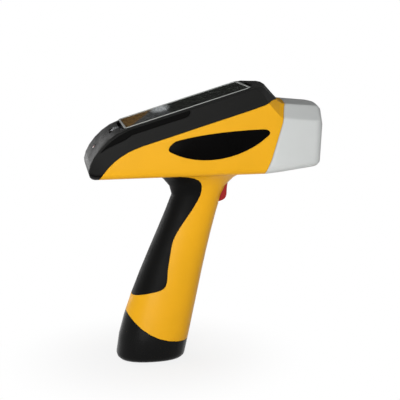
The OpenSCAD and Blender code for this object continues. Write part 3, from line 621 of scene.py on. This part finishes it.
class DressTerminal(bpy.types.Operator):
    """Pocket terminal: case, bright bezel, cover glass and display glowing with painted reflections"""

    bl_idname = "analyser.dress_terminal"
    bl_label = "Terminal"

    def execute(self, context):
        look = context.scene.analyser_terminal
        low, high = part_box("terminal_bezel")
        slope = Vector((DECK_NORMAL.z, 0, -DECK_NORMAL.x))
        rear = Vector((low.x, 0, high.z - (high.x - low.x) * slope.z / slope.x))
        ahead = slope * (high.x - low.x) / slope.x
        turn = (0, math.atan2(slope.z, slope.x), 0)
        dressed("terminal_case", moulded("case_black", look.case, 0.45), look.edge)
        dressed("terminal_bezel", bezel_rim("bezel_silver", look, rear.dot(DECK_NORMAL), turn), 0.00025)
        glass = dressed("terminal_glass", screen_glass("screen_glass"))
        glass.visible_shadow = False
        dressed("terminal_display", display_painted_reflections("display_painted_reflections", look, rear, ahead))
        return {"FINISHED"}


class DressInside(bpy.types.Operator):
    """Everything that the housing hides: springs, boards, supply, tube, detector, filter wheel and chassis"""

    bl_idname = "analyser.dress_inside"
    bl_label = "Inner pieces"

    def execute(self, context):
        spring = brushed("spring_steel", (0.62, 0.62, 0.64), 0.24, (700.0, 700.0, 700.0))
        milled = blasted("milled_aluminium", (0.70, 0.71, 0.73), 0.32)
        connector = moulded("connector_black", (0.015, 0.015, 0.017), 0.4)
        copper = blasted("disc_copper", (0.70, 0.32, 0.16), 0.3)
        tube = brushed("tube_steel", (0.66, 0.64, 0.60), 0.26)
        motor = blasted("motor_steel", (0.30, 0.30, 0.32), 0.38)
        for node, joint, way, keep in SPRINGS:
            pressed(dressed(node, spring, crease=60.0))
        for node in ("chassis", "measuring_block", "detector_cooler", "filter_wheel"):
            dressed(node, milled, 0.0002)
        for node in ("xray_tube", "detector"):
            dressed(node, tube, 0.0003)
        dressed("filter_discs", copper, 0.00005)
        dressed("filter_motor", motor, 0.0003)
        dressed("dock_connector", connector, 0.0002)
        dressed("housing_screws", brushed("housing_screw_steel", (0.10, 0.10, 0.105), 0.35), 0.0001)
        dressed("high_voltage_supply", moulded("supply_grey", (0.06, 0.063, 0.07), 0.5), 0.0004)
        dressed("main_board", circuit_board("board_green"), 0.0001)
        return {"FINISHED"}


class SetStudio(bpy.types.Operator):
    """Pale floor, soft lamps, dark card behind and the camera"""

    bl_idname = "analyser.set_studio"
    bl_label = "Studio and camera"

    def seen(self, tree):
        """1 for rays from the camera, a reflection or a clear piece, and 0 for the lamps' light."""
        rays = new_node(tree, "ShaderNodeLightPath").outputs
        highest = rays["Is Camera Ray"]
        for name in ("Is Glossy Ray", "Is Transmission Ray"):
            highest = new_node(tree, "ShaderNodeMath", {0: highest, 1: rays[name]}, operation="MAXIMUM").outputs[0]
        return highest

    def floor_material(self, look):
        """White to the camera and in reflections, pale under the lamps, with the object's shadow on it."""
        material = bpy.data.materials.new("floor_pale")
        material.use_nodes = True
        tree = material.node_tree
        tree.nodes.clear()
        foot = sum(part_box("base_cap"), Vector()) / 2
        place = new_node(tree, "ShaderNodeTexCoord").outputs["Object"]
        away = new_node(tree, "ShaderNodeVectorMath", {0: place, 1: (foot.x, 0, 0)}, operation="DISTANCE")
        fade = {"Value": away.outputs["Value"], "From Min": SHADING_NEAR, "From Max": SHADING_FAR,
                "To Min": WHITE_AT_FOOT, "To Max": 1.0}
        level = new_node(tree, "ShaderNodeMapRange", fade, interpolation_type="SMOOTHSTEP")
        share = new_node(tree, "ShaderNodeMath", {0: self.seen(tree), 1: level.outputs[0]}, operation="MULTIPLY")
        matt = new_node(tree, "ShaderNodeBsdfDiffuse", {"Color": (*look.floor, 1)})
        white = new_node(tree, "ShaderNodeEmission")
        mix = new_node(tree, "ShaderNodeMixShader", {"Fac": share.outputs[0], 1: matt.outputs[0], 2: white.outputs[0]})
        new_node(tree, "ShaderNodeOutputMaterial", {"Surface": mix.outputs[0]})
        return material

    def world_light(self, scene):
        """Even sky for the lamps' fill, white where the camera or a reflection sees it."""
        scene.world = bpy.data.worlds.new("studio_world")
        scene.world.use_nodes = True
        tree = scene.world.node_tree
        level = new_node(tree, "ShaderNodeMapRange", {"Value": self.seen(tree), "To Min": SKY_FILL, "To Max": 1.0})
        sky = tree.nodes["Background"]
        sky.inputs["Color"].default_value = (1, 1, 1, 1)
        tree.links.new(level.outputs[0], sky.inputs["Strength"])

    def lamp(self, name, place, aim, size, power):
        """Square soft box."""
        bpy.ops.object.light_add(type="AREA", location=place)
        lamp = bpy.context.view_layer.objects.active
        lamp.name = lamp.data.name = name
        lamp.data.shape = "SQUARE"
        lamp.data.size = size
        lamp.data.energy = power
        lamp.rotation_mode = "QUATERNION"
        lamp.rotation_quaternion = (Vector(aim) - Vector(place)).to_track_quat("-Z", "Y")

    def camera(self, scene, look):
        a, e, r = (math.radians(angle) for angle in (look.azimuth, look.elevation, look.roll))
        back = Vector((math.sin(a) * math.cos(e), -math.cos(a) * math.cos(e), math.sin(e)))
        across = Vector((math.cos(a), math.sin(a), 0))
        up = back.cross(across)
        right = across * math.cos(r) - up * math.sin(r)
        top = across * math.sin(r) + up * math.cos(r)
        bpy.ops.object.camera_add()
        camera = bpy.context.view_layer.objects.active
        camera.name = "camera"
        camera.data.sensor_width = 36
        camera.data.lens = look.lens
        camera.data.clip_start = 0.05
        camera.data.clip_end = 50
        turned = Matrix((right, top, back)).transposed().to_4x4()
        turned.translation = Vector(look.target) + back * look.distance
        camera.matrix_world = turned
        scene.camera = camera

    def execute(self, context):
        scene = context.scene
        look = scene.analyser_studio
        work_on(frame["nodes"]["top_cover"])
        bpy.ops.mesh.primitive_plane_add(size=FLOOR_SIZE, location=(0, 0, cad_low.z))
        floor = bpy.context.view_layer.objects.active
        floor.name = "floor"
        floor.data.materials.append(self.floor_material(look))
        bpy.ops.mesh.primitive_plane_add(size=1, location=CARD_PLACE, rotation=CARD_TURN)
        card = bpy.context.view_layer.objects.active
        card.name = "dark_card"
        card.scale = CARD_SIZE
        card.visible_camera = False
        card.visible_diffuse = False
        card.visible_shadow = False
        card.data.materials.append(Finish("card_grey", (0.03, 0.03, 0.03), 0.9, Specular_IOR_Level=0.05).material)
        for values in LAMPS:
            self.lamp(*values)
        self.world_light(scene)
        self.camera(scene, look)
        scene.view_settings.view_transform = "Standard"
        return {"FINISHED"}


OPERATORS = (DressHousing, DressCover, DressNose, DressGrip, DressBattery, DressTrigger, DressTerminal,
             DressInside, SetStudio)


class AnalyserPanel(bpy.types.Panel):
    """Lists the operators and the values that they use"""

    bl_idname = "VIEW3D_PT_analyser"
    bl_label = "Analyser"
    bl_space_type = "VIEW_3D"
    bl_region_type = "UI"
    bl_category = "Analyser"

    def draw(self, context):
        for operator in OPERATORS:
            self.layout.operator(operator.bl_idname)
        for group, kind in LOOKS.items():
            box = self.layout.box()
            box.label(text=kind.__doc__)
            for name in kind.__annotations__:
                box.prop(getattr(context.scene, group), name)


def register():
    for kind in (*LOOKS.values(), *OPERATORS, AnalyserPanel):
        bpy.utils.register_class(kind)
    for group, kind in LOOKS.items():
        setattr(bpy.types.Scene, group, PointerProperty(type=kind))


def unregister():
    for group in LOOKS:
        delattr(bpy.types.Scene, group)
    for kind in reversed((*LOOKS.values(), *OPERATORS, AnalyserPanel)):
        bpy.utils.unregister_class(kind)


def main():
    register()
    for operator in OPERATORS:
        family, name = operator.bl_idname.split(".")
        getattr(getattr(bpy.ops, family), name)()


if __name__ == "__main__":
    main()
